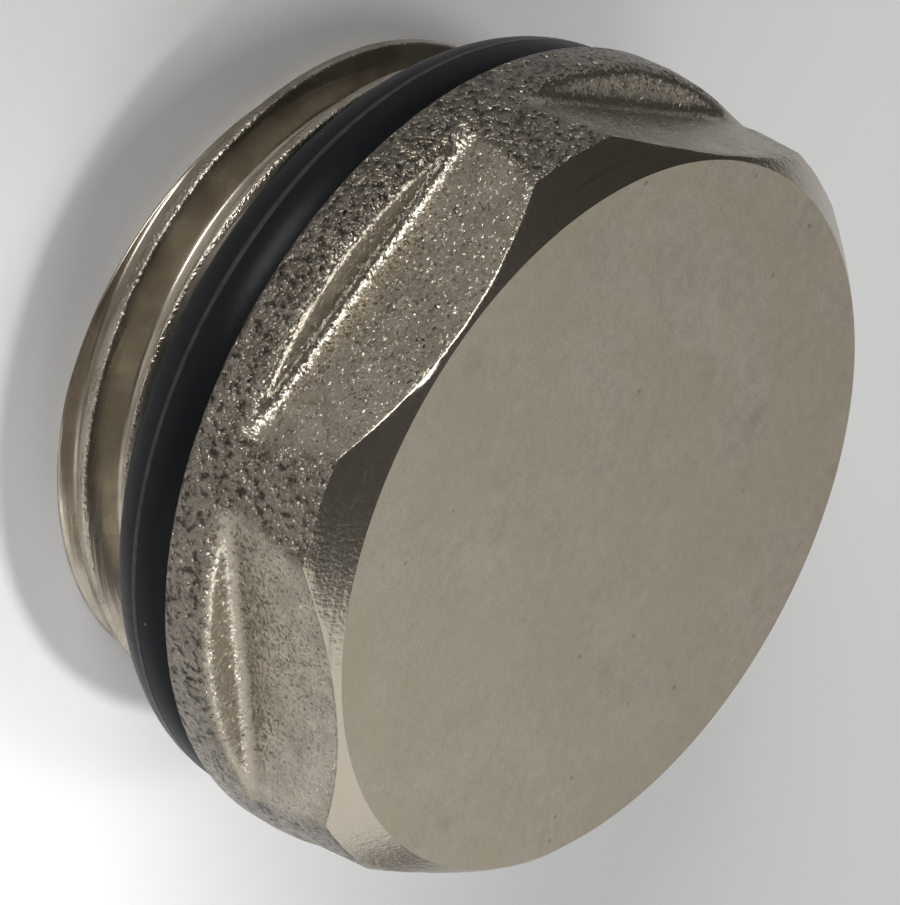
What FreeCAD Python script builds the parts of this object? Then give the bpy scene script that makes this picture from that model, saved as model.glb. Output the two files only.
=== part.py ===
import FreeCAD, Part
import math
import os

# Radiator blanking plug with a G 1/2 parallel thread: a forged and turned plug body with a
# hexagon head and a round collar, and the rubber ring that seals it behind the collar.
# Millimetres, +Z out of the front face. The origin is the centre of the threaded end, so the
# plug stands on that end with its face up.

# Hexagon head, 22 mm across its flats, and its turned face
face_margin = 0.13
face_chamfer_angle = 47.0
head_height = 5.45

# Rounded corners of the hexagon, which widen over a forging draft to the collar
corner_rise = 0.9
collar_rise = 0.4
collar_cover = 0.31
collar_band = 0.85
collar_edge = 0.15

# Run-out of each flat into the collar's front shoulder
shoulder_setback = 1.67
shoulder_draft_angle = 7.0
runout_radius = 0.35
shoulder_edge_radius = 0.3

# Threaded spigot, plain at the thread's major diameter
thread_diameter = 20.8
thread_length = 3.65
thread_lead_chamfer = 0.5
thread_relief_chamfer = 0.6

# Sealing ring, stretched on its seat between the collar and the thread
ring_section = 3.0
ring_squeeze = 0.06
ring_clearance = 0.2
seat_depth = 1.35

# Blind recess in the threaded end
seat_wall = 1.55
face_wall = 4.0
recess_corner_radius = 1.0
recess_mouth_chamfer = 0.4

FLATS = 6
TOUCH = 1e-4
UP = FreeCAD.Vector(0, 0, 1)
CENTRE = FreeCAD.Vector(0, 0, 0)

# Radii, which follow from the thread: the collar covers the ring that sits behind it
thread_radius = thread_diameter / 2
seat_radius = thread_radius - seat_depth
recess_radius = seat_radius - seat_wall
ring_centre_radius = seat_radius + ring_section / 2 - ring_squeeze
collar_radius = ring_centre_radius + ring_section / 2 + collar_cover
corner_radius = collar_radius - collar_rise
flat_radius = corner_radius - corner_rise
face_radius = flat_radius - face_margin

# Heights above the threaded end
collar_back = thread_length + ring_section + ring_clearance
face_height = collar_back + head_height
shoulder_height = collar_back + shoulder_setback
recess_top = face_height - face_wall

face_slope = 1 / math.tan(math.radians(face_chamfer_angle))
shoulder_slope = math.tan(math.radians(shoulder_draft_angle))


def point(radius, height):
    return FreeCAD.Vector(radius, 0, height)


def outline(points):
    """Straight edges from each point to the next."""
    return [Part.LineSegment(a, b).toShape() for a, b in zip(points, points[1:])]


def section_face(edges):
    """The flat face inside a closed outline in the XZ plane."""
    return Part.Face(Part.Wire(Part.__sortEdges__(edges)))


def turned(edges):
    """The solid that a closed outline sweeps about the plug's axis."""
    return section_face(edges).revolve(CENTRE, UP, 360)


def recess_corner():
    """The rounded corner between the recess's wall and its floor."""
    centre = point(recess_radius - recess_corner_radius, recess_top - recess_corner_radius)
    middle = centre + point(1, 1).normalize() * recess_corner_radius
    start = centre + point(0, recess_corner_radius)
    end = centre + point(recess_corner_radius, 0)
    return start, end, Part.Arc(start, middle, end).toShape()


def round_blank():
    """The plug as a body of revolution, before its flats and its face chamfer."""
    draft_base = collar_back + collar_band
    draft_top = face_height - (corner_radius - face_radius) * face_slope
    draft_slope = collar_rise / (draft_top - draft_base)
    top_radius = corner_radius - draft_slope * (face_height - draft_top)
    floor_end, wall_top, corner_arc = recess_corner()
    floor = outline([point(0, face_height), point(0, recess_top), floor_end])
    sides = outline([
        wall_top,
        point(recess_radius, recess_mouth_chamfer),
        point(recess_radius + recess_mouth_chamfer, 0),
        point(thread_radius - thread_lead_chamfer, 0),
        point(thread_radius, thread_lead_chamfer),
        point(thread_radius, thread_length - thread_relief_chamfer),
        point(thread_radius - thread_relief_chamfer, thread_length),
        point(seat_radius, thread_length),
        point(seat_radius, collar_back),
        point(collar_radius - collar_edge, collar_back),
        point(collar_radius, collar_back + collar_edge),
        point(collar_radius, draft_base),
        point(top_radius, face_height),
        point(0, face_height),
    ])
    blank = turned(floor + [corner_arc] + sides)
    # the seam of the round faces lies on a corner, clear of the flats
    blank.rotate(CENTRE, UP, 180 / FLATS)
    return blank


def flat_cutter():
    """What one flat takes off: a plane that runs out over a radius into the shoulder."""
    turn = math.radians(90 - shoulder_draft_angle)
    arc_centre = point(flat_radius + runout_radius, shoulder_height + runout_radius)

    def on_arc(angle):
        return arc_centre - point(math.cos(angle), math.sin(angle)) * runout_radius

    flat_foot = on_arc(0)
    shoulder_start = on_arc(turn)
    above = 2 * face_height
    outside = 2 * collar_radius
    shoulder_end = point(outside, shoulder_start.z - (outside - shoulder_start.x) * shoulder_slope)
    runout = Part.Arc(flat_foot, on_arc(turn / 2), shoulder_start).toShape()
    sides = outline([shoulder_start, shoulder_end, point(outside, above), point(flat_radius, above), flat_foot])
    section = section_face([runout] + sides)
    section.translate(FreeCAD.Vector(0, -collar_radius, 0))
    return section.extrude(FreeCAD.Vector(0, 2 * collar_radius, 0))


def flat_cutters():
    """The flats' cutters, evenly spaced about the axis."""
    cutters = []
    for index in range(FLATS):
        cutter = flat_cutter()
        cutter.rotate(CENTRE, UP, index * 360 / FLATS)
        cutters.append(cutter)
    return Part.Compound(cutters)


def flat_rims(cut, blank, cutters):
    """The edges where the flats and their shoulders break the round of the head."""
    rounds = Part.Compound([face for face in blank.Faces if not isinstance(face.Surface, Part.Plane)])
    rims = []
    for edge in cut.Edges:
        middle = Part.Vertex(edge.valueAt((edge.FirstParameter + edge.LastParameter) / 2))
        on_cutter = cutters.distToShape(middle)[0] < TOUCH
        on_round = rounds.distToShape(middle)[0] < TOUCH
        if on_cutter and on_round:
            rims.append(edge)
    return rims


def face_turning():
    """What the lathe leaves inside the front face and its conical chamfer."""
    outside = 2 * collar_radius
    cone_foot = face_height - (outside - face_radius) * face_slope
    below = min(cone_foot, 0) - collar_radius
    return turned(outline([
        point(0, below),
        point(outside, below),
        point(outside, cone_foot),
        point(face_radius, face_height),
        point(0, face_height),
        point(0, below),
    ]))


def plug_body():
    """The one-piece plug: turned round, flats let into its head, edges eased, face turned."""
    blank = round_blank()
    cutters = flat_cutters()
    cut = blank.cut(cutters)
    eased = cut.makeFillet(shoulder_edge_radius, flat_rims(cut, blank, cutters))
    return eased.common(face_turning()).Solids[0]


def seal_ring(body):
    """The round ring, flattened where its stretch presses it on the seat and the collar."""
    section_radius = ring_section / 2
    centre = FreeCAD.Vector(0, 0, collar_back - section_radius + ring_squeeze)
    ring = Part.makeTorus(ring_centre_radius, section_radius, centre, UP)
    return ring.cut(body).Solids[0]


os.makedirs("parts", exist_ok=True)
body = plug_body()
body.exportStep("parts/plug_body.step")
seal_ring(body).exportStep("parts/seal_ring.step")
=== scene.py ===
import math

import bpy
import numpy as np
from mathutils import Matrix, Vector


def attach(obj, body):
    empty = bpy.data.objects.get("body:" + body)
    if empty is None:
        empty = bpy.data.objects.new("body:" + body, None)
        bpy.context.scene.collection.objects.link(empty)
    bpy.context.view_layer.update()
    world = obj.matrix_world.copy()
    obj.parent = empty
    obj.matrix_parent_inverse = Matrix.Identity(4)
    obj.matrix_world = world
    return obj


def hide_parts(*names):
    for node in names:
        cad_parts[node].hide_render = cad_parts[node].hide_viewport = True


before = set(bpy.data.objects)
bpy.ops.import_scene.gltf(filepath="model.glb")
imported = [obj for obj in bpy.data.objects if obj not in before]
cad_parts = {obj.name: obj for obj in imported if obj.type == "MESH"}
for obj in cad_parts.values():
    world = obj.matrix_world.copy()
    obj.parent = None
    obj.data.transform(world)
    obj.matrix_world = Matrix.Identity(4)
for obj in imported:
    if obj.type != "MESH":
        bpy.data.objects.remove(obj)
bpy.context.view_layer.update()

# Sizes of the plug in millimetres, as in the part. Heights are above the threaded end.
MM = 0.001
FLATS = 6
SECTOR = 2 * math.pi / FLATS
FACE_HEIGHT = 12.3
FACE_RADIUS = 10.87
FACE_CHAMFER_ANGLE = math.radians(47.0)
FLAT_RADIUS = 11.0
CORNER_RADIUS = 11.9
COLLAR_RADIUS = 12.3
COLLAR_BACK = 6.85
COLLAR_BAND = 0.85
COLLAR_EDGE = 0.15
SHOULDER_HEIGHT = 8.52
SHOULDER_DRAFT = math.radians(7.0)
RUNOUT_RADIUS = 0.35
SHOULDER_EDGE_RADIUS = 0.3
SHOULDER_EDGE_FADE = 0.5
ARRIS_RADIUS = 0.05
ARRIS_SHARES = (0.4, 1.3)
ARRIS_SEED = 7
BRUISE_PLACE = 1.45
BRUISE_LENGTH = 1.1
BRUISE_DEPTH = 0.05
BRUISE_LEAN = math.radians(27.0)
THREAD_RADIUS = 10.4
THREAD_LENGTH = 3.65
LEAD_CHAMFER = 0.5
RELIEF_CHAMFER = 0.6
SEAT_RADIUS = 9.05
RING_SECTION_RADIUS = 1.5
RING_SQUEEZE = 0.06
RECESS_RADIUS = 7.5
RECESS_TOP = 8.3
RECESS_CORNER_RADIUS = 1.0
RECESS_MOUTH_CHAMFER = 0.4

# Right-hand pipe thread of 55 degrees, with flat crests. The crest nearest the camera fixes its turn, and
# burrs on the crests start and are full at two depths below them.
THREAD_PITCH = 1.814
THREAD_DEPTH = 0.95
THREAD_CREST_WIDTH = 0.3
THREAD_CREST_EASING = 0.05
THREAD_ROOT_EASING = 0.1
BURR_FOOT = 0.12
BURR_FULL = 0.02
FLANK_ANGLE = math.radians(27.5)
CREST_HEIGHT = 1.33
CREST_AZIMUTH = math.radians(23.0)

# Columns of the plug's mesh across half a sector, and the share of it at which the flat's rim lies
FLAT_COLUMNS = 22
LAND_COLUMNS = 13
RIM_SHARE = 0.8
RIM_STEP = 0.008

# Rows of the plug's mesh: shares of a length, steps in mm from an edge to the rows that hold it, the radii
# of rows on the threaded end, and counts
FACE_SHARES = (0.1, 0.25, 0.4, 0.55, 0.7, 0.82, 0.9, 0.95, 0.98)
FACE_STEP = 0.03
CHAMFER_SHARES = (0.05, 0.2, 0.4, 0.6, 0.8)
ARRIS_RISES = (0.04, 0.02, 0.0)
ARRIS_DROPS = (0.02, 0.04, 0.072)
FLAT_TOP_DROP = 0.1
SHOULDER_FALL = 0.075
COLLAR_STEP = 0.02
EDGE_STEP = 0.05
END_RADII = (9.2, 8.6)
RECESS_SHARES = (0.85, 0.6, 0.35, 0.12)
FLAT_ROWS = 16
ARC_ROWS = 10
SHOULDER_ROWS = 6
DRAFT_ROWS = 4
COLLAR_ROWS = 5
BACK_ROWS = 5
SEAT_ROWS = 4
THREAD_ROWS = 116
WALL_ROWS = 6
CORNER_ROWS = 8

# Search for the head's surface: how far past the collar it starts, in mm, and its steps
SEARCH_MARGIN = 1
HALVINGS = 40

# Width in mm over which the skin of the flats goes over to that of the rounds, and how smooth it is on
# the run-outs: the rise with the turn and the most
SKIN_BLEND = 0.2
RUNOUT_SMOOTHING = 1.2
RUNOUT_SMOOTHEST = 0.85

# Mesh of the ring: steps about the axis and about its section
RING_STEPS = 288
RING_SECTION_STEPS = 56

# Camera in the part's frame, for an image of 900 by 905 pixels
IMAGE_HEIGHT = 905
FOCAL_PIXELS = 4300
SENSOR = 36.0
CAMERA_AIM = (2.656, 1.030, 8.229)
CAMERA_DISTANCE = 121.5
CAMERA_AZIMUTH = 13.16
CAMERA_ELEVATION = 34.728
CAMERA_ROLL = 117.815
CLIP_NEAR = 5
CLIP_FAR = 10000

# Studio: sizes in mm, and how soft the spot's edge is
FLOOR_HALF = 1500
LAMP_DISTANCE = 800
SPOT_SIZE = 20
SPOT_BLEND = 0.7

face_slope = 1 / math.tan(FACE_CHAMFER_ANGLE)
corner_height = FACE_HEIGHT - (CORNER_RADIUS - FACE_RADIUS) * face_slope
draft_base = COLLAR_BACK + COLLAR_BAND
corner_draft = (COLLAR_RADIUS - CORNER_RADIUS) / (corner_height - draft_base)
runout_start = SHOULDER_HEIGHT + RUNOUT_RADIUS
ring_radius = SEAT_RADIUS + RING_SECTION_RADIUS - RING_SQUEEZE
ring_height = COLLAR_BACK - RING_SECTION_RADIUS + RING_SQUEEZE


class Value:
    """A socket of a node tree. Arithmetic on it adds Math nodes to the tree."""

    def __init__(self, maker, socket):
        self.maker = maker
        self.socket = socket

    def math(self, operation, *others):
        """A Math node on this value and the others."""
        sockets = {index: value for index, value in enumerate((self, *others))}
        return self.maker.node("ShaderNodeMath", {"operation": operation}, sockets)

    def __add__(self, other):
        return self.math("ADD", other)

    __radd__ = __add__

    def __mul__(self, other):
        return self.math("MULTIPLY", other)

    def __sub__(self, other):
        return self.math("SUBTRACT", other)

    def __rsub__(self, other):
        return self * -1.0 + other

    def __truediv__(self, other):
        return self.math("DIVIDE", other)

    def __pow__(self, other):
        return self.math("POWER", other)

    def eased_positive(self, easing):
        """The value where it is above 0 and 0 elsewhere, with the corner between them eased."""
        return (self + (self * self + easing * easing) ** 0.5) * 0.5

    def at_least(self, other):
        return self.math("MAXIMUM", other)

    def at_most(self, other):
        return self.math("MINIMUM", other)


class NodeMaker:
    """Adds nodes to one node tree."""

    def __init__(self, tree):
        self.tree = tree

    def node(self, kind, settings=None, sockets=None, output=0):
        """Adds a node with its settings first, then its sockets' values or links, and gives an output."""
        made = self.tree.nodes.new(kind)
        for name, setting in (settings or {}).items():
            setattr(made, name, setting)
        for key, value in (sockets or {}).items():
            if isinstance(value, Value):
                self.tree.links.new(value.socket, made.inputs[key])
            else:
                made.inputs[key].default_value = value
        return Value(self, made.outputs[output]) if made.outputs else made

    def mix_colour(self, share, first, second):
        """The first colour, going over to the second as the share goes from 0 to 1."""
        settings = {"data_type": "RGBA", "clamp_factor": True}
        return self.node("ShaderNodeMix", settings, {0: share, 6: first, 7: second}, 2)

    def vector(self, operation, *others, output=0):
        """A Vector Math node on the given values."""
        sockets = {index: value for index, value in enumerate(others)}
        return self.node("ShaderNodeVectorMath", {"operation": operation}, sockets, output)

    def split(self, place):
        """A vector's three coordinates."""
        outputs = self.node("ShaderNodeSeparateXYZ", None, {0: place}).socket.node.outputs
        return [Value(self, output) for output in outputs]

    def joined(self, x, y, z):
        """The vector of three coordinates."""
        return self.node("ShaderNodeCombineXYZ", None, {0: x, 1: y, 2: z})

    def step(self, value, low, high):
        """0 below low, 1 above high and a smooth rise between them."""
        settings = {"interpolation_type": "SMOOTHSTEP"}
        return self.node("ShaderNodeMapRange", settings, {0: value, 1: low, 2: high})


class Finish(NodeMaker):
    """A material of procedural nodes. Its patterns are in millimetres on Object coordinates."""

    def __init__(self, name):
        self.material = bpy.data.materials.new(name)
        self.material.use_nodes = True
        super().__init__(self.material.node_tree)
        self.tree.nodes.clear()
        place = self.node("ShaderNodeTexCoord", output="Object")
        self.place = self.vector("SCALE", place)
        self.place.socket.node.inputs["Scale"].default_value = 1 / MM

    def noise(self, size, detail=2.0, roughness=0.5, place=None):
        """Soft noise from 0 to 1, whose blotches are about the given size across."""
        return self.node("ShaderNodeTexNoise", None, {
            "Vector": place or self.place,
            "Scale": 1 / size,
            "Detail": detail,
            "Roughness": roughness,
        })

    def cells(self, size):
        """Distance from the middles of cells of about the given size, as a share of that size."""
        sockets = {"Vector": self.place, "Scale": 1 / size}
        return self.node("ShaderNodeTexVoronoi", None, sockets, "Distance")

    def facets(self, size, steepness):
        """Height of grains of the given size, each a facet that tilts its own way, most of them a little."""
        sockets = {"Vector": self.place, "Scale": 1 / size}
        grain = self.node("ShaderNodeTexVoronoi", None, sockets, "Position").socket.node
        middle, colour = Value(self, grain.outputs["Position"]), Value(self, grain.outputs["Color"])
        tilt = self.vector("SUBTRACT", colour, (0.5, 0.5, 0.5))
        steep = self.vector("DOT_PRODUCT", tilt, tilt, output="Value") * steepness
        from_middle = self.vector("SUBTRACT", self.place, middle)
        return self.vector("DOT_PRODUCT", from_middle, tilt, output="Value") * steep

    def attribute(self, name):
        """A value that the mesh carries at its points."""
        return self.node("ShaderNodeAttribute", {"attribute_name": name}, output="Fac")

    def bump(self, height):
        """A bumped normal from a height in millimetres."""
        return self.node("ShaderNodeBump", None, {"Strength": 1.0, "Distance": MM, "Height": height})

    def done(self, sockets):
        """Ends the material in one principled shader with these sockets."""
        shader = self.node("ShaderNodeBsdfPrincipled", None, sockets)
        self.node("ShaderNodeOutputMaterial", None, {"Surface": shader})
        return self.material


# Colours of the materials and the room
PLATE = (0.48, 0.43, 0.35, 1)
PLATE_DULL = (0.38, 0.34, 0.272, 1)
PLATE_DARK = (0.14, 0.12, 0.09, 1)
PLATE_TARNISH = (0.425, 0.386, 0.282, 1)
SKIN_PLATE = (0.335, 0.297, 0.241, 1)
SKIN_DULL = (0.24, 0.209, 0.165, 1)
# Dark of the pores on the flats, also the painted shade on the rounds
SKIN_PORES_AND_SHADE = (0.035, 0.028, 0.02, 1)
THREAD_PLATE = (0.47, 0.42, 0.344, 1)
THREAD_DULL = (0.28, 0.245, 0.194, 1)
RUBBER = (0.008, 0.0085, 0.0105, 1)
# Lighter grey along the ring's parting line: a painted highlight
RUBBER_LINE_HIGHLIGHT = (0.065, 0.065, 0.067, 1)
DUST = (0.22, 0.22, 0.21, 1)
FLOOR_PALE = (0.84, 0.84, 0.84, 1)
FLOOR_PALER = (0.87, 0.87, 0.87, 1)
ROOM = (0.06, 0.058, 0.055, 1)


def turned_face():
    """Satin plate on the turned front face: faint tarnish, mottling, smudges and a few dark pits."""
    finish = Finish("turned_face")
    clouds = finish.noise(2.4, detail=3.0, roughness=0.6)
    mottle = finish.noise(0.4, detail=3.0, roughness=0.6)
    grain = finish.noise(0.11)
    tarnish = finish.step(finish.noise(3.4, detail=3.0, roughness=0.6), 0.42, 0.62)
    smudges = 1 - finish.step(finish.cells(2.7), 0.02, 0.26)
    pits = 1 - finish.step(finish.cells(1.5), 0.03, 0.07)
    dullness = clouds * 1.1 + mottle * 1.4 + grain * 1.2 - 1.4
    colour = finish.mix_colour(dullness, PLATE, PLATE_DULL)
    colour = finish.mix_colour(tarnish * 0.5, colour, PLATE_TARNISH)
    colour = finish.mix_colour(smudges * mottle * 0.22 + pits * 0.5, colour, PLATE_DARK)
    height = grain * 0.008 + mottle * 0.004 - pits * 0.004
    return finish.done({
        "Base Color": colour,
        "Metallic": 1.0,
        "Roughness": 0.40 + mottle * 0.12,
        "Normal": finish.bump(height),
    })


def turned_chamfer():
    """Plate on the turned chamfer, with the tool's rings and drag marks and a fine grain."""
    finish = Finish("turned_chamfer")
    x, y, z = finish.split(finish.place)
    rings = finish.joined(x * 0.12, y * 0.12, z * 4.0)
    tool_marks = finish.noise(0.5, detail=3.0, roughness=0.6, place=rings)
    along = y.math("ARCTAN2", x) * FACE_RADIUS
    drag = finish.joined(along, z * 0.2, 0.0)
    drag_marks = finish.noise(0.16, roughness=0.6, place=drag)
    grain = finish.noise(0.12)
    colour = finish.mix_colour(finish.step(tool_marks, 0.45, 0.8), PLATE, PLATE_DULL)
    return finish.done({
        "Base Color": colour,
        "Metallic": 1.0,
        "Roughness": 0.18 + grain * 0.1,
        "Normal": finish.bump(tool_marks * 0.01 + drag_marks * 0.005 + grain * 0.011),
    })


def forged_skin():
    """Plated skin of the forging: fine blasted grain on the flats, coarse pebbles on the rounds, which carry
    painted shade.
    """
    finish = Finish("forged_skin")
    rounds = finish.attribute("forged_round")
    eased = finish.attribute("eased")
    fine = finish.noise(0.13, roughness=0.6)
    waves = finish.noise(0.9)
    coarse = finish.noise(0.26, roughness=0.55)
    pebbles = finish.cells(0.2)
    swell = (fine - 0.5) * 0.04 + (waves - 0.5) * 0.04
    flat_height = finish.facets(0.08, steepness=1.75)
    round_height = finish.facets(0.12, steepness=2.6)
    round_height = round_height + (0.3 - pebbles * pebbles) * 0.05 + (coarse - 0.5) * 0.2
    height = (flat_height * (1 - rounds) + round_height * rounds + swell) * (1 - eased * 0.62)
    gaps = 1 - finish.step(coarse - pebbles * 0.2, 0.22, 0.42)
    pores = 1 - finish.step(fine, 0.28, 0.5)
    colour = finish.mix_colour(finish.step(waves, 0.3, 0.8), SKIN_PLATE, SKIN_DULL)
    # Painted shade: the rounds are painted darker all over, and the gaps between the pebbles darker still
    colour = finish.mix_colour((gaps * 0.55 + 0.38) * rounds, colour, SKIN_PORES_AND_SHADE)
    colour = finish.mix_colour(pores * 0.12, colour, SKIN_PORES_AND_SHADE)
    colour = finish.mix_colour(eased * 0.65, colour, PLATE)
    return finish.done({
        "Base Color": colour,
        "Metallic": 1.0,
        "Roughness": 0.24 + fine * 0.12,
        "Normal": finish.bump(height),
    })


def cut_thread():
    """Bright plate on the cut thread and the turned seat, with fine tool marks and burrs on the crests."""
    finish = Finish("cut_thread")
    x, y, z = finish.split(finish.place)
    rings = finish.joined(x * 0.1, y * 0.1, z * 7.0)
    tool_marks = finish.noise(0.45, detail=3.0, roughness=0.6, place=rings)
    blotches = finish.noise(1.6, detail=3.0)
    burrs = finish.noise(0.1)
    radius = (x * x + y * y) ** 0.5
    on_crest = finish.step(radius, THREAD_RADIUS - BURR_FOOT, THREAD_RADIUS - BURR_FULL)
    colour = finish.mix_colour(finish.step(blotches, 0.35, 0.75), THREAD_PLATE, THREAD_DULL)
    return finish.done({
        "Base Color": colour,
        "Metallic": 1.0,
        "Roughness": 0.22 + blotches * 0.12,
        "Normal": finish.bump((tool_marks - 0.5) * 0.009 + (burrs - 0.5) * on_crest * 0.05),
    })


def ring_rubber():
    """Smooth black rubber with a fine parting line round it, painted lighter grey as a painted highlight,
    and a little dust.
    """
    finish = Finish("ring_rubber")
    height = finish.split(finish.place)[2]
    grain = finish.noise(0.3, detail=3.0)
    specks = 1 - finish.step(finish.cells(0.9), 0.03, 0.05)
    from_middle = (height - ring_height).math("ABSOLUTE")
    parting_ridge_and_highlight = 1 - finish.step(from_middle, 0.02, 0.11)
    # Painted highlight: lighter grey along the parting line round the ring's middle; the ridge itself is
    # real and bumped
    colour = finish.mix_colour(parting_ridge_and_highlight * grain, RUBBER, RUBBER_LINE_HIGHLIGHT)
    colour = finish.mix_colour(specks * 0.6, colour, DUST)
    return finish.done({
        "Base Color": colour,
        "Specular IOR Level": 0.09,
        "Roughness": 0.3 + grain * 0.1,
        "Normal": finish.bump(grain * 0.006 + parting_ridge_and_highlight * 0.025),
    })


def pale_floor():
    """Plain pale floor."""
    finish = Finish("pale_floor")
    cloud = finish.noise(80.0)
    colour = finish.mix_colour(cloud, FLOOR_PALE, FLOOR_PALER)
    return finish.done({"Base Color": colour, "Roughness": 0.85, "Specular IOR Level": 0.1})


def column_shares():
    """Places of the columns across half a sector: 0 at a flat's middle, 1 at a corner."""
    across_flat = np.linspace(0, RIM_SHARE, FLAT_COLUMNS)[:-1]
    near_rim = [RIM_SHARE - RIM_STEP, RIM_SHARE, RIM_SHARE + RIM_STEP]
    across_land = np.linspace(RIM_SHARE, 1, LAND_COLUMNS)[1:]
    return np.concatenate([across_flat, near_rim, across_land])


# The columns all the way round: each one's place in its sector, its sector's turn and its arris's radius
half_shares = column_shares()
sector_shares = np.concatenate([-half_shares[:0:-1], half_shares[:-1]])
shares = np.tile(sector_shares, FLATS)
sector_turn = np.repeat(np.arange(FLATS) * SECTOR, len(sector_shares))
COLUMNS = len(shares)
arris_radii = ARRIS_RADIUS * np.random.default_rng(ARRIS_SEED).uniform(*ARRIS_SHARES, COLUMNS)


def round_radius(height):
    """Radius of the head before its flats: the collar's band, then the drafted corners."""
    return COLLAR_RADIUS - corner_draft * np.maximum(height - draft_base, 0)


def rounded_union(first, second, radius):
    """Distance from two bodies joined with a fillet."""
    reach = np.hypot(np.maximum(radius - first, 0), np.maximum(radius - second, 0))
    return np.maximum(radius, np.minimum(first, second)) - reach


def rounded_common(first, second, radius):
    """Distance from what two bodies share, with its edge rounded over."""
    reach = np.hypot(np.maximum(radius + first, 0), np.maximum(radius + second, 0))
    return np.minimum(-radius, np.maximum(first, second)) + reach


def flat_distance(radius, angle, height):
    """Distance outside what one flat and its run-out into the shoulder leave."""
    depth = radius * np.cos(angle)
    outside_flat = depth - FLAT_RADIUS
    drop = (depth - FLAT_RADIUS - RUNOUT_RADIUS) * math.tan(SHOULDER_DRAFT)
    above_shoulder = (height - SHOULDER_HEIGHT + drop) * math.cos(SHOULDER_DRAFT)
    return rounded_union(outside_flat, above_shoulder, RUNOUT_RADIUS)


def bruise_distance(radius, angle, height):
    """Distance outside what a knock has left of the chamfer's arris on the first flat."""
    place = (radius * np.sin(angle) - BRUISE_PLACE) / (BRUISE_LENGTH / 2)
    arris = FACE_HEIGHT - (FLAT_RADIUS / np.cos(angle) - FACE_RADIUS) * face_slope
    outside_flat = radius * np.cos(angle) - FLAT_RADIUS
    pressed = BRUISE_DEPTH * (1 - place * place)
    outside = outside_flat * math.cos(BRUISE_LEAN) + (height - arris) * math.sin(BRUISE_LEAN) + pressed
    return np.where(sector_turn == 0, outside, -COLLAR_RADIUS)


def head_distance(radius, angle, height):
    """Distance outside the hexagon head at an angle from the nearest flat's middle."""
    outside_round = radius - round_radius(height)
    fade = [runout_start, runout_start + SHOULDER_EDGE_FADE]
    easing = np.interp(height, fade, [SHOULDER_EDGE_RADIUS, ARRIS_RADIUS])
    sides = rounded_common(flat_distance(radius, angle, height), outside_round, easing)
    lean = FACE_CHAMFER_ANGLE
    outside_chamfer = (radius - FACE_RADIUS) * math.cos(lean) + (height - FACE_HEIGHT) * math.sin(lean)
    turned = rounded_common(sides, outside_chamfer, arris_radii)
    return np.maximum(turned, bruise_distance(radius, angle, height))


def head_radius(angle, height):
    """Radius of the head's surface, found by halving."""
    low = np.full(np.shape(height), SEAT_RADIUS)
    high = np.full(np.shape(height), COLLAR_RADIUS + SEARCH_MARGIN)
    for _ in range(HALVINGS):
        middle = (low + high) / 2
        outside = head_distance(middle, angle, height) > 0
        high = np.where(outside, middle, high)
        low = np.where(outside, low, middle)
    return (low + high) / 2


def column_angles(height):
    """Angle from the flat's middle of each column at the given heights, one of which follows the rim."""
    reach = np.maximum(height, runout_start)
    rim = np.arccos(FLAT_RADIUS / round_radius(np.minimum(reach, corner_height)))
    inside = np.abs(shares) / RIM_SHARE * rim
    beyond = rim + (np.abs(shares) - RIM_SHARE) / (1 - RIM_SHARE) * (SECTOR / 2 - rim)
    return np.sign(shares) * np.where(np.abs(shares) < RIM_SHARE, inside, beyond)


# Zones of the plug's surface, which are also its material slots
FACE, CHAMFER, SKIN, THREAD = range(4)


class PlugRows:
    """The plug's rows of points, from the middle of its face round to the recess's floor."""

    def __init__(self):
        self.points = []
        self.zones = []
        self.rounds = []
        self.eased = []
        self.threaded = []
        self.sharp = []

    def add(self, angle, radius, height, zone, rounds=1.0, threaded=False, sharp=False, eased=0.0):
        """A row with a point in every column, each at an angle from the middle of its flat."""
        turn = angle + sector_turn
        radius = np.broadcast_to(radius, turn.shape)
        height = np.broadcast_to(height, turn.shape)
        self.points.append(np.stack([radius * np.cos(turn), radius * np.sin(turn), height], 1))
        self.zones.append(zone)
        self.rounds.append(np.broadcast_to(rounds, turn.shape))
        self.eased.append(np.broadcast_to(eased, turn.shape))
        self.threaded.append(np.full(turn.shape, float(threaded)))
        self.sharp.append(sharp)

    def add_round(self, radius, height, zone, threaded=False, sharp=False):
        """A row that is a plain circle."""
        self.add(column_angles(np.full(COLUMNS, height)), radius, height, zone, 1.0, threaded, sharp)

    def add_head(self, height, zone, eased=0.0):
        """A row on the head's side, at one height or one a column, and how smooth it is on the flats."""
        height = np.broadcast_to(height, COLUMNS)
        angle = column_angles(height)
        radius = head_radius(angle, height)
        on_flat = flat_distance(radius, angle, height)
        on_round = radius - round_radius(height)
        rounds = np.clip((on_round - on_flat) / SKIN_BLEND + 0.5, 0, 1)
        self.add(angle, radius, height, zone, rounds, eased=eased * (np.abs(shares) < RIM_SHARE))


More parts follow.
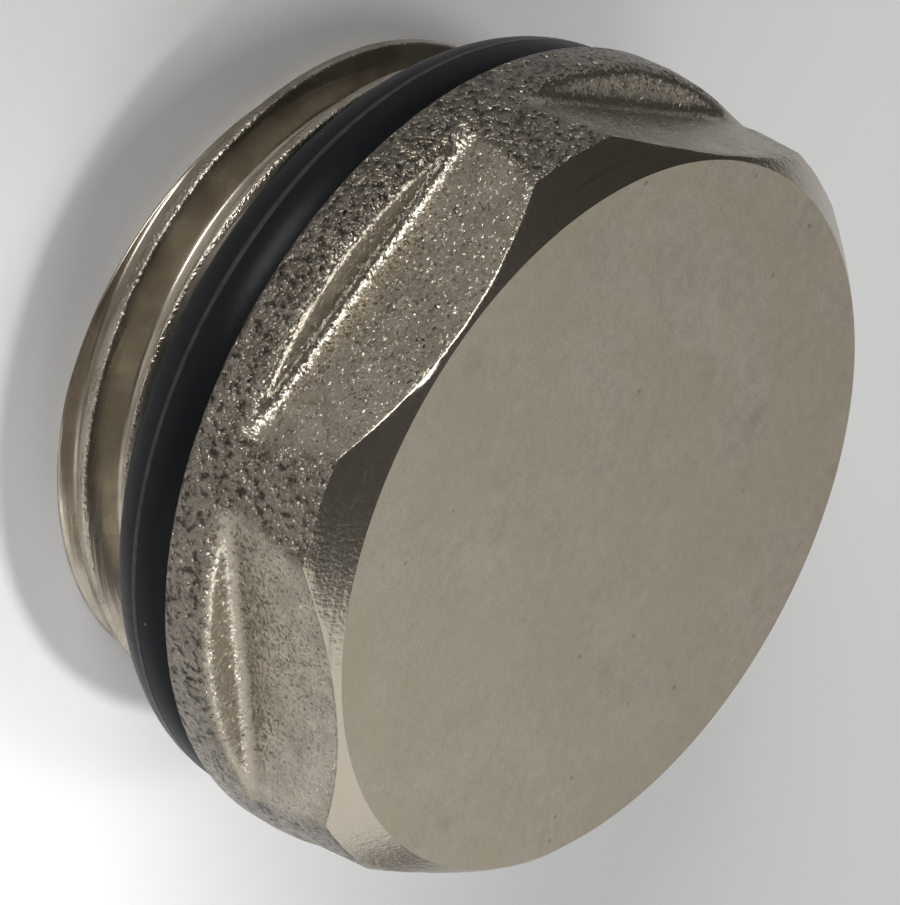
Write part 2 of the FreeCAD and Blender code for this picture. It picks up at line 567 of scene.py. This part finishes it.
def head_rows(rows):
    """Chamfer, flats, run-outs, shoulders and collar, from the face's rim down."""
    reach = FLAT_RADIUS / np.cos(column_angles(np.full(COLUMNS, corner_height)))
    arris = FACE_HEIGHT - (np.minimum(reach, CORNER_RADIUS) - FACE_RADIUS) * face_slope
    chamfer = FACE_HEIGHT - arris
    for share in CHAMFER_SHARES:
        rows.add_head(FACE_HEIGHT - share * (chamfer - ARRIS_RADIUS), CHAMFER)
    for rise in ARRIS_RISES:
        rows.add_head(arris + rise, CHAMFER)
    for drop in ARRIS_DROPS:
        rows.add_head(arris - drop, SKIN)
    flat_top = arris - FLAT_TOP_DROP
    for share in np.linspace(0, 1, FLAT_ROWS)[1:]:
        rows.add_head(flat_top + (runout_start - flat_top) * share, SKIN)
    for turn in np.linspace(0, math.pi / 2 - SHOULDER_DRAFT, ARC_ROWS)[1:]:
        smooth = min(turn * RUNOUT_SMOOTHING, RUNOUT_SMOOTHEST)
        rows.add_head(runout_start - RUNOUT_RADIUS * math.sin(turn), SKIN, smooth)
    shoulder_low = SHOULDER_HEIGHT - SHOULDER_FALL
    for height in np.linspace(SHOULDER_HEIGHT, shoulder_low, SHOULDER_ROWS)[1:]:
        rows.add_head(height, SKIN, 1.0)
    rim_centre = shoulder_low - SHOULDER_EDGE_RADIUS
    for turn in np.linspace(math.pi / 2 - SHOULDER_DRAFT, 0, ARC_ROWS)[1:]:
        rows.add_head(rim_centre + SHOULDER_EDGE_RADIUS * math.sin(turn), SKIN, turn / (math.pi / 2))
    for height in np.linspace(rim_centre, draft_base, DRAFT_ROWS)[1:]:
        rows.add_head(height, SKIN)
    for height in np.linspace(draft_base, COLLAR_BACK + COLLAR_EDGE, COLLAR_ROWS)[1:]:
        rows.add_round(COLLAR_RADIUS, height, SKIN)
    rows.add_round(COLLAR_RADIUS - COLLAR_STEP, COLLAR_BACK + COLLAR_EDGE - 2 * COLLAR_STEP, SKIN)
    rows.add_round(COLLAR_RADIUS - COLLAR_EDGE + 2 * COLLAR_STEP, COLLAR_BACK + COLLAR_STEP, SKIN)
    rows.add_round(COLLAR_RADIUS - COLLAR_EDGE, COLLAR_BACK, SKIN)


def spigot_rows(rows):
    """Collar's back, ring's seat, plain spigot for the thread, its end and the blind recess."""
    back_rim = COLLAR_RADIUS - COLLAR_EDGE
    for radius in np.linspace(back_rim - EDGE_STEP, SEAT_RADIUS + EDGE_STEP, BACK_ROWS):
        rows.add_round(radius, COLLAR_BACK, THREAD)
    rows.add_round(SEAT_RADIUS, COLLAR_BACK, THREAD, sharp=True)
    for height in np.linspace(COLLAR_BACK - EDGE_STEP, THREAD_LENGTH + EDGE_STEP, SEAT_ROWS):
        rows.add_round(SEAT_RADIUS, height, THREAD)
    rows.add_round(SEAT_RADIUS, THREAD_LENGTH, THREAD, sharp=True)
    rows.add_round(SEAT_RADIUS + EDGE_STEP, THREAD_LENGTH, THREAD)
    for height in np.linspace(THREAD_LENGTH, 0, THREAD_ROWS):
        relief = THREAD_RADIUS - RELIEF_CHAMFER + (THREAD_LENGTH - height)
        lead = THREAD_RADIUS - LEAD_CHAMFER + height
        rows.add_round(min(THREAD_RADIUS, relief, lead), height, THREAD, threaded=True)
    mouth = RECESS_RADIUS + RECESS_MOUTH_CHAMFER
    for radius in (*END_RADII, mouth + EDGE_STEP):
        rows.add_round(radius, 0, THREAD)
    rows.add_round(mouth, 0, THREAD, sharp=True)
    rows.add_round(mouth - EDGE_STEP, EDGE_STEP, THREAD)
    rows.add_round(RECESS_RADIUS + EDGE_STEP, RECESS_MOUTH_CHAMFER - EDGE_STEP, THREAD)
    rows.add_round(RECESS_RADIUS, RECESS_MOUTH_CHAMFER, THREAD, sharp=True)
    corner_start = RECESS_TOP - RECESS_CORNER_RADIUS
    for height in np.linspace(RECESS_MOUTH_CHAMFER + EDGE_STEP, corner_start, WALL_ROWS):
        rows.add_round(RECESS_RADIUS, height, THREAD)
    for turn in np.linspace(0, math.pi / 2, CORNER_ROWS)[1:]:
        radius = RECESS_RADIUS - RECESS_CORNER_RADIUS * (1 - math.cos(turn))
        rows.add_round(radius, corner_start + RECESS_CORNER_RADIUS * math.sin(turn), THREAD)
    for share in RECESS_SHARES:
        rows.add_round((RECESS_RADIUS - RECESS_CORNER_RADIUS) * share, RECESS_TOP, THREAD)


def blank_plug():
    """The plug's closed mesh before its thread is cut."""
    rows = PlugRows()
    for share in FACE_SHARES:
        rows.add_round(FACE_RADIUS * share, FACE_HEIGHT, FACE)
    rows.add_round(FACE_RADIUS - FACE_STEP, FACE_HEIGHT, FACE)
    rows.add_round(FACE_RADIUS, FACE_HEIGHT, FACE, sharp=True)
    head_rows(rows)
    spigot_rows(rows)
    count = len(rows.points)
    points = np.concatenate([*rows.points, [[0, 0, FACE_HEIGHT], [0, 0, RECESS_TOP]]])
    face_middle, recess_middle = count * COLUMNS, count * COLUMNS + 1
    column = np.arange(COLUMNS)
    following = (column + 1) % COLUMNS
    faces = [(face_middle, a, b) for a, b in zip(column.tolist(), following.tolist())]
    zones = [FACE] * COLUMNS
    for row in range(1, count):
        above, below = (row - 1) * COLUMNS, row * COLUMNS
        quads = np.stack([above + column, below + column, below + following, above + following], 1)
        faces += quads.tolist()
        zones += [rows.zones[row]] * COLUMNS
    last = (count - 1) * COLUMNS
    faces += [(recess_middle, last + b, last + a) for a, b in zip(column.tolist(), following.tolist())]
    zones += [THREAD] * COLUMNS
    mesh = bpy.data.meshes.new("threaded_plug")
    mesh.from_pydata((points * MM).tolist(), [], faces)
    mesh.polygons.foreach_set("material_index", zones)
    mesh.polygons.foreach_set("use_smooth", [True] * len(faces))
    rounds = np.concatenate([*rows.rounds, [0.0, 0.0]])
    eased = np.concatenate([*rows.eased, [0.0, 0.0]])
    threaded = np.concatenate([*rows.threaded, [0.0, 0.0]])
    for name, values in (("forged_round", rounds), ("eased", eased), ("threaded", threaded)):
        mesh.attributes.new(name, "FLOAT", "POINT").data.foreach_set("value", values)
    sharp_rows = np.repeat(rows.sharp + [False], COLUMNS)
    ends = np.zeros(len(mesh.edges) * 2, np.int32)
    mesh.edges.foreach_get("vertices", ends)
    ends = np.minimum(ends.reshape(-1, 2), count * COLUMNS)
    same_row = ends[:, 0] // COLUMNS == ends[:, 1] // COLUMNS
    sharp = same_row & sharp_rows[ends[:, 0]]
    mesh.attributes.new("sharp_edge", "BOOLEAN", "EDGE").data.foreach_set("value", sharp)
    mesh.validate()
    mesh.update()
    return mesh


def add_object(name, data):
    """A new object in the scene."""
    made = bpy.data.objects.new(name, data)
    bpy.context.scene.collection.objects.link(made)
    return made


class Shaper(NodeMaker):
    """A Geometry Nodes tree with named inputs for its sizes."""

    def __init__(self, name):
        super().__init__(bpy.data.node_groups.new(name, "GeometryNodeTree"))
        self.tree.interface.new_socket("Geometry", in_out="INPUT", socket_type="NodeSocketGeometry")
        self.tree.interface.new_socket("Geometry", in_out="OUTPUT", socket_type="NodeSocketGeometry")
        self.group_input = self.tree.nodes.new("NodeGroupInput")
        self.sizes = {}

    def size(self, name, value):
        """A named input, and its value for this object."""
        made = self.tree.interface.new_socket(name, in_out="INPUT", socket_type="NodeSocketFloat")
        self.sizes[made.identifier] = float(value)
        return Value(self, self.group_input.outputs[name])

    def finish(self, geometry):
        """Ends the tree in the given geometry."""
        self.node("NodeGroupOutput", None, {0: geometry})

    def shape(self, name, mesh):
        """The plain mesh that the tree makes of the given one."""
        piece = add_object(name, mesh)
        modifier = piece.modifiers.new(self.tree.name, "NODES")
        modifier.node_group = self.tree
        for identifier, value in self.sizes.items():
            modifier[identifier] = value
        graph = bpy.context.evaluated_depsgraph_get()
        shaped = bpy.data.meshes.new_from_object(piece.evaluated_get(graph))
        piece.modifiers.remove(modifier)
        piece.data = shaped
        shaped.name = name
        return piece


def thread_shaper(plate):
    """Cuts a right-hand thread of flat crests and rounded roots into the spigot's points."""
    tree = Shaper("cut_thread")
    major = tree.size("Major Radius", THREAD_RADIUS * MM)
    pitch = tree.size("Pitch", THREAD_PITCH * MM)
    depth = tree.size("Depth", THREAD_DEPTH * MM)
    crest_width = tree.size("Crest Width", THREAD_CREST_WIDTH * MM)
    crest_easing = tree.size("Crest Easing", THREAD_CREST_EASING * MM)
    root_easing = tree.size("Root Easing", THREAD_ROOT_EASING * MM)
    first_crest = tree.size("First Crest", CREST_HEIGHT * MM)
    crest_turn = tree.size("Crest Turn", CREST_AZIMUTH / (2 * math.pi))
    place = tree.node("GeometryNodeInputPosition")
    x, y, z = tree.split(place)
    turn = y.math("ARCTAN2", x) / (2 * math.pi)
    along = (z - first_crest) / pitch - turn + crest_turn
    from_crest = along.math("PINGPONG", 0.5) * pitch
    flank = (from_crest - crest_width * 0.5) / math.tan(FLANK_ANGLE)
    groove = depth - (depth - flank.eased_positive(crest_easing)).eased_positive(root_easing)
    radius = (x * x + y * y).math("SQRT")
    share = (major - groove).at_most(radius) / radius
    cut = tree.joined(x * share, y * share, z)
    threaded = tree.node("GeometryNodeInputNamedAttribute", {"data_type": "FLOAT"}, {"Name": "threaded"})
    on_spigot = threaded.math("GREATER_THAN", 0.5)
    blank = Value(tree, tree.group_input.outputs["Geometry"])
    sockets = {"Geometry": blank, "Selection": on_spigot, "Position": cut}
    threads = tree.node("GeometryNodeSetPosition", None, sockets)
    real = tree.node("GeometryNodeRealizeInstances", None, {"Geometry": threads})
    sockets = {"Geometry": real, "Selection": on_spigot, "Material": plate}
    tree.finish(tree.node("GeometryNodeSetMaterial", None, sockets))
    return tree


def ring_shaper(rubber):
    """Sweeps the ring's round section about the axis, pressed flat on its seat and the collar."""
    tree = Shaper("seal_ring")
    middle = tree.size("Ring Radius", ring_radius * MM)
    section = tree.size("Section Radius", RING_SECTION_RADIUS * MM)
    seat = tree.size("Seat Radius", SEAT_RADIUS * MM)
    level = tree.size("Ring Height", ring_height * MM)
    collar = tree.size("Collar Height", COLLAR_BACK * MM)
    path = tree.node("GeometryNodeCurvePrimitiveCircle", None, {"Resolution": RING_STEPS, "Radius": middle})
    sockets = {"Resolution": RING_SECTION_STEPS, "Radius": section}
    profile = tree.node("GeometryNodeCurvePrimitiveCircle", None, sockets)
    sweep = tree.node("GeometryNodeCurveToMesh", None, {"Curve": path, "Profile Curve": profile})
    place = tree.node("GeometryNodeInputPosition")
    x, y, z = tree.split(place)
    radius = (x * x + y * y).math("SQRT")
    share = radius.at_least(seat) / radius
    pressed = tree.joined(x * share, y * share, (z + level).at_most(collar))
    seated = tree.node("GeometryNodeSetPosition", None, {"Geometry": sweep, "Position": pressed})
    smooth = tree.node("GeometryNodeSetShadeSmooth", None, {"Geometry": seated, "Shade Smooth": True})
    real = tree.node("GeometryNodeRealizeInstances", None, {"Geometry": smooth})
    tree.finish(tree.node("GeometryNodeSetMaterial", None, {"Geometry": real, "Material": rubber}))
    return tree


def add_piece(piece, node):
    """Joins a piece to the part's body, in place of its solid."""
    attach(piece, "root")
    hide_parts(node)


def add_plug():
    """The plug, with its thread."""
    mesh = blank_plug()
    thread_plate = cut_thread()
    for material in (turned_face(), turned_chamfer(), forged_skin(), thread_plate):
        mesh.materials.append(material)
    add_piece(thread_shaper(thread_plate).shape("threaded_plug", mesh), "plug_body")


def add_ring():
    """The rubber ring on its seat."""
    shaper = ring_shaper(ring_rubber())
    add_piece(shaper.shape("sealing_ring", bpy.data.meshes.new("sealing_ring")), "seal_ring")


def aimed(azimuth, elevation, distance, aim=CAMERA_AIM, roll=0.0):
    """Matrix of a camera or lamp that looks at the aim from the given direction and distance in mm."""
    around, above = math.radians(azimuth), math.radians(elevation)
    across = math.cos(above)
    back = Vector((across * math.cos(around), across * math.sin(around), math.sin(above)))
    turn = back.to_track_quat("Z", "Y").to_matrix() @ Matrix.Rotation(math.radians(roll), 3, "Z")
    place = (Vector(aim) + back * distance) * MM
    return Matrix.Translation(place) @ turn.to_4x4()


def add_camera():
    """The camera of the photo."""
    camera = add_object("camera", bpy.data.cameras.new("camera"))
    camera.data.sensor_width = SENSOR
    camera.data.lens = FOCAL_PIXELS / IMAGE_HEIGHT * SENSOR
    camera.data.clip_start = CLIP_NEAR * MM
    camera.data.clip_end = CLIP_FAR * MM
    camera.matrix_world = aimed(CAMERA_AZIMUTH, CAMERA_ELEVATION, CAMERA_DISTANCE, roll=CAMERA_ROLL)
    bpy.context.scene.camera = camera


def add_lamp(name, azimuth, elevation, width, length, radiance):
    """A soft rectangular lamp, sized in mm, as bright as the radiance says."""
    light = bpy.data.lights.new(name, "AREA")
    light.shape = "RECTANGLE"
    light.size = width * MM
    light.size_y = length * MM
    light.energy = radiance * math.pi * light.size * light.size_y
    lamp = add_object(name, light)
    lamp.matrix_world = aimed(azimuth, elevation, LAMP_DISTANCE)
    lamp.visible_camera = False


def add_spot(name, azimuth, elevation, distance, aim, reach, brightness):
    """A soft-edged spot lamp that lights a round of the given reach in mm about its aim."""
    light = bpy.data.lights.new(name, "SPOT")
    light.spot_size = 2 * math.atan(reach / distance)
    light.spot_blend = SPOT_BLEND
    light.shadow_soft_size = SPOT_SIZE * MM
    light.energy = brightness * 4 * math.pi * (distance * MM) ** 2
    lamp = add_object(name, light)
    lamp.matrix_world = aimed(azimuth, elevation, distance, aim)
    lamp.visible_camera = False


def add_studio():
    """Floor, five soft lamps, a spot lamp for the floor at the left and a dim room."""
    half = FLOOR_HALF * MM
    mesh = bpy.data.meshes.new("floor")
    corners = [(-half, -half, 0), (half, -half, 0), (half, half, 0), (-half, half, 0)]
    mesh.from_pydata(corners, [], [(0, 1, 2, 3)])
    mesh.materials.append(pale_floor())
    floor = add_object("floor", mesh)
    add_lamp("top_lamp", azimuth=250, elevation=75, width=190, length=190, radiance=9.5)
    add_lamp("fill_lamp", azimuth=116, elevation=58, width=250, length=250, radiance=4.2)
    add_spot("pool_lamp", azimuth=150, elevation=84, distance=300, aim=(3, 30, 0), reach=27, brightness=2.9)
    add_lamp("front_lamp", azimuth=-8, elevation=18, width=320, length=330, radiance=11.5)
    add_lamp("back_panel", azimuth=181, elevation=39, width=760, length=640, radiance=0.59)
    add_lamp("side_panel", azimuth=106, elevation=20, width=1500, length=850, radiance=0.95)
    world = bpy.data.worlds.new("dim_room")
    world.use_nodes = True
    world.node_tree.nodes["Background"].inputs["Color"].default_value = ROOM
    bpy.context.scene.world = world


add_camera()
add_plug()
add_ring()
add_studio()
bpy.context.scene.view_settings.view_transform = "Standard"
